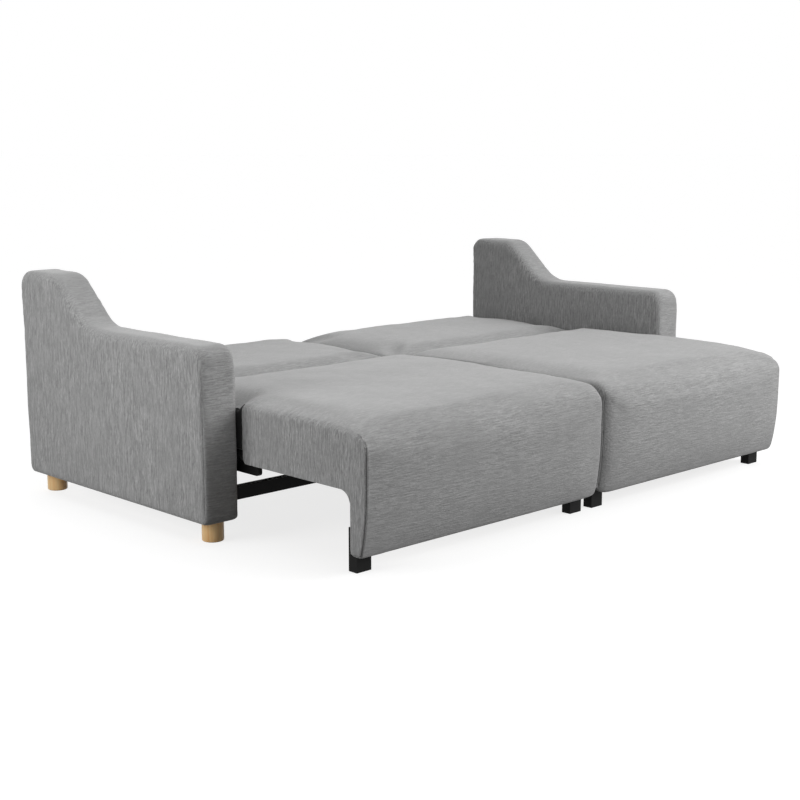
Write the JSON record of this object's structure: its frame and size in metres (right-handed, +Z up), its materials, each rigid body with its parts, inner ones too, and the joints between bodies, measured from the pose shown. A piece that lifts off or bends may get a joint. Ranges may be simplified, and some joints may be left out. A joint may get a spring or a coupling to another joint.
{
  "type": "sleeper sofa with pull out bed",
  "caption": "Grey upholstered sleeper sofa, shown as a bed: the seats slide out between the arms and the backs lie flat behind them.",
  "frame": {"origin": "on the floor, under the middle of the pulled out sofa", "axes": "+X to the right of someone who looks at the front, +Y from the front to the back, +Z up"},
  "size_m": [2.3, 1.54, 0.745],
  "materials": {
    "grey_fabric": "slubby ribbed chenille weave, matt",
    "black_steel": "satin black powder coat",
    "light_wood": "clear satin lacquer on light wood",
    "plywood": "raw plywood",
    "nylon": "moulded nylon",
    "zinc_steel": "zinc plated"
  },
  "bodies": {
    "base": {"left_arm_cover": "grey_fabric", "left_arm_frame": "plywood", "left_front_wood_foot": "light_wood", "left_rear_wood_foot": "light_wood", "right_arm_cover": "grey_fabric", "right_arm_frame": "plywood", "right_front_wood_foot": "light_wood", "right_rear_wood_foot": "light_wood", "front_crossbar": "black_steel", "rear_crossbar": "black_steel", "centre_rail": "black_steel", "centre_front_leg": "black_steel", "centre_rear_leg": "black_steel", "left_fixed_rail": "black_steel", "left_outer_rail_glide": "nylon", "left_inner_rail_glide": "nylon", "left_outer_back_rest": "black_steel", "left_inner_back_rest": "black_steel", "right_fixed_rail": "black_steel", "right_outer_rail_glide": "nylon", "right_inner_rail_glide": "nylon", "right_outer_back_rest": "black_steel", "right_inner_back_rest": "black_steel"},
    "left_seat": {"left_seat_pad": "grey_fabric", "left_front_panel": "grey_fabric", "left_front_board": "plywood", "left_seat_frame": "black_steel", "left_seat_deck": "plywood", "left_outer_side_panel": "grey_fabric", "left_outer_leg": "black_steel", "left_outer_moving_rail": "black_steel", "left_outer_hinge_pin": "zinc_steel", "left_inner_side_panel": "grey_fabric", "left_inner_leg": "black_steel", "left_inner_moving_rail": "black_steel", "left_inner_hinge_pin": "zinc_steel"},
    "left_back": {"left_back_pad": "grey_fabric", "left_back_frame": "black_steel", "left_back_deck": "plywood"},
    "left_outer_roller": {"left_outer_roller": "nylon"},
    "left_inner_roller": {"left_inner_roller": "nylon"},
    "right_seat": {"right_seat_pad": "grey_fabric", "right_front_panel": "grey_fabric", "right_front_board": "plywood", "right_seat_frame": "black_steel", "right_seat_deck": "plywood", "right_outer_side_panel": "grey_fabric", "right_outer_leg": "black_steel", "right_outer_moving_rail": "black_steel", "right_outer_hinge_pin": "zinc_steel", "right_inner_side_panel": "grey_fabric", "right_inner_leg": "black_steel", "right_inner_moving_rail": "black_steel", "right_inner_hinge_pin": "zinc_steel"},
    "right_back": {"right_back_pad": "grey_fabric", "right_back_frame": "black_steel", "right_back_deck": "plywood"},
    "right_outer_roller": {"right_outer_roller": "nylon"},
    "right_inner_roller": {"right_inner_roller": "nylon"}
  },
  "joints": [
    {"name": "left_seat_slide", "type": "slide", "parent": "base", "child": "left_seat", "axis": [0, 1, 0], "range_m": [0, 0.49]},
    {"name": "left_back_fold", "type": "hinge", "parent": "left_seat", "child": "left_back", "pos_m": [0, 0.092, 0.335], "axis": [1, 0, 0], "range_deg": [0, 78]},
    {"name": "left_outer_roller_spin", "type": "hinge", "parent": "left_seat", "child": "left_outer_roller", "pos_m": [-1.0113, 0.152, 0.2149], "axis": [1, 0, 0], "continuous": true},
    {"name": "left_inner_roller_spin", "type": "hinge", "parent": "left_seat", "child": "left_inner_roller", "pos_m": [-0.0077, 0.152, 0.2149], "axis": [1, 0, 0], "continuous": true},
    {"name": "right_seat_slide", "type": "slide", "parent": "base", "child": "right_seat", "axis": [0, 1, 0], "range_m": [0, 0.49]},
    {"name": "right_back_fold", "type": "hinge", "parent": "right_seat", "child": "right_back", "pos_m": [0, 0.092, 0.335], "axis": [1, 0, 0], "range_deg": [0, 78]},
    {"name": "right_outer_roller_spin", "type": "hinge", "parent": "right_seat", "child": "right_outer_roller", "pos_m": [1.0113, 0.152, 0.2149], "axis": [1, 0, 0], "continuous": true},
    {"name": "right_inner_roller_spin", "type": "hinge", "parent": "right_seat", "child": "right_inner_roller", "pos_m": [0.0077, 0.152, 0.2149], "axis": [1, 0, 0], "continuous": true}
  ],
  "couplings": [
    {"joint": "left_back_fold", "follows": "left_seat_slide", "rad_per_m": 2.778},
    {"joint": "left_outer_roller_spin", "follows": "left_seat_slide", "rad_per_m": -71.429},
    {"joint": "left_inner_roller_spin", "follows": "left_seat_slide", "rad_per_m": -71.429},
    {"joint": "right_back_fold", "follows": "right_seat_slide", "rad_per_m": 2.778},
    {"joint": "right_outer_roller_spin", "follows": "right_seat_slide", "rad_per_m": -71.429},
    {"joint": "right_inner_roller_spin", "follows": "right_seat_slide", "rad_per_m": -71.429}
  ]
}
